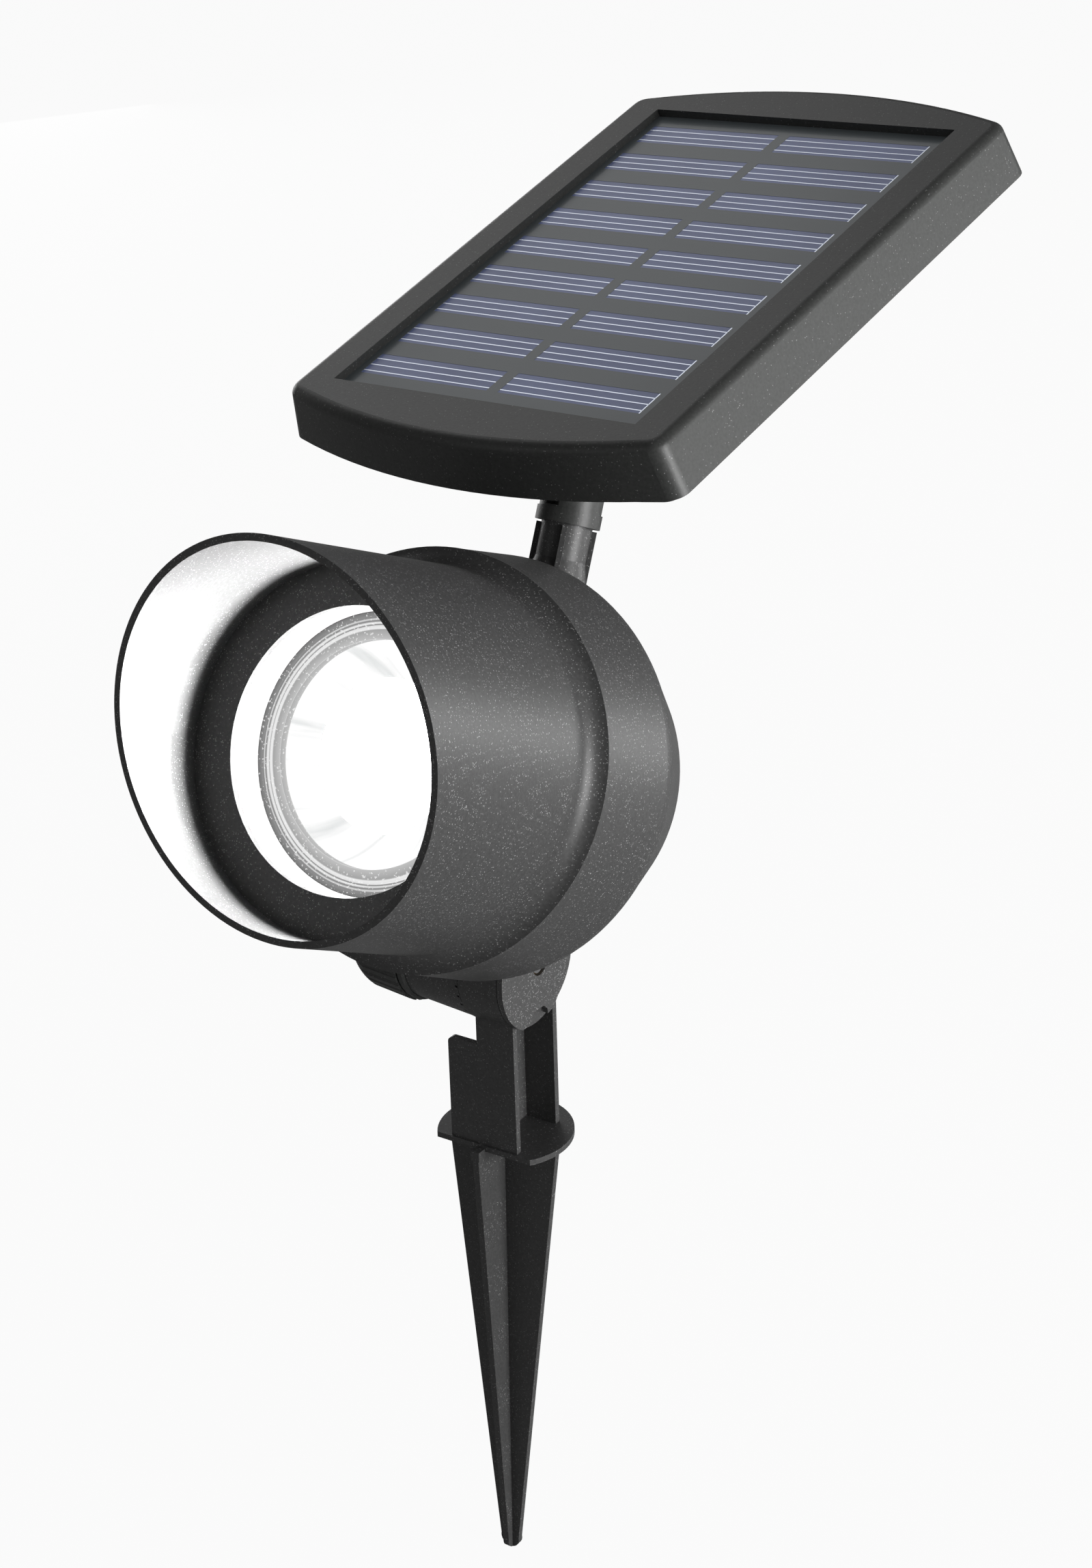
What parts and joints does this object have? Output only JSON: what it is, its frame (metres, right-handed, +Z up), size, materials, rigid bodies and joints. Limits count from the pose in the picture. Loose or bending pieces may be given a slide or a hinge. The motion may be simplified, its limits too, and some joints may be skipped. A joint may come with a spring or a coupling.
{
  "type": "solar garden spotlight",
  "caption": "Solar garden spotlight: hooded round lamp head on a ground spike, with a tilting and swivelling solar panel above it.",
  "frame": {"origin": "centre of the stake flange on its underside, at the ground line", "axes": "+Z up; the lamp faces -Y and is tilted nose-up; the clamp knob is on the -X side"},
  "size_m": [0.1411, 0.2571, 0.3836],
  "materials": {
    "dark_plastic": "satin moulded, dark charcoal with fine light flecks",
    "seal_rubber": "matt",
    "bright_plated": "vacuum-plated moulding",
    "clear_lens": "clear, polished",
    "circuit_board": "solder mask",
    "led_white": "lit white",
    "cast_alloy": "as cast",
    "screw_steel": "bright",
    "insert_brass": "turned",
    "laminate": "clear cover over a dark backing",
    "silicon_cells": "blue silicon with silver fingers",
    "battery_wrap": "printed-free sleeve",
    "button_rubber": "soft"
  },
  "bodies": {
    "stake": {"ground_stake": "dark_plastic"},
    "head": {"rear_housing": "dark_plastic", "hood": "dark_plastic", "lip_seal": "seal_rubber", "reflector": "bright_plated", "lens": "clear_lens", "led_board": "circuit_board", "leds": "led_white", "heat_sink": "cast_alloy", "board_screws": "screw_steel", "thread_insert": "insert_brass", "thrust_washer": "dark_plastic"},
    "knob": {"clamp_knob": "dark_plastic", "clamp_screw": "screw_steel"},
    "swivel": {"swivel_fork": "dark_plastic", "neck_clip": "screw_steel", "tilt_bolt": "screw_steel", "tilt_nut": "screw_steel"},
    "panel": {"panel_frame": "dark_plastic", "panel_base": "dark_plastic", "solar_laminate": "laminate", "solar_cells": "silicon_cells", "sealant_bead": "seal_rubber", "base_screws": "screw_steel", "battery_door": "dark_plastic", "door_screws": "screw_steel", "batteries": "battery_wrap", "battery_tray": "dark_plastic", "battery_contacts": "screw_steel", "control_board": "circuit_board", "switch_body": "dark_plastic"},
    "button": {"switch_button": "button_rubber"}
  },
  "joints": [
    {"name": "head_tilt", "type": "hinge", "parent": "stake", "child": "head", "pos_m": [0, 0, 0.0536], "axis": [1, 0, 0], "range_deg": [-60, 40]},
    {"name": "knob_turn", "type": "hinge", "parent": "head", "child": "knob", "pos_m": [-0.03, 0, 0.0536], "axis": [1, 0, 0], "range_deg": [0, 360]},
    {"name": "panel_swivel", "type": "hinge", "parent": "head", "child": "swivel", "pos_m": [0, 0.01037, 0.10099], "axis": [0, 0.4163, 0.9092], "range_deg": [-165, 165]},
    {"name": "panel_tilt", "type": "hinge", "parent": "swivel", "child": "panel", "pos_m": [0, 0.04637, 0.17963], "axis": [0.9895, -0.1313, 0.0601], "range_deg": [-52, 9]},
    {"name": "switch_press", "type": "slide", "parent": "panel", "child": "button", "axis": [-0.0975, -0.3009, 0.9486], "range_m": [0, 0.0015], "stiffness_N_per_m": 900}
  ]
}
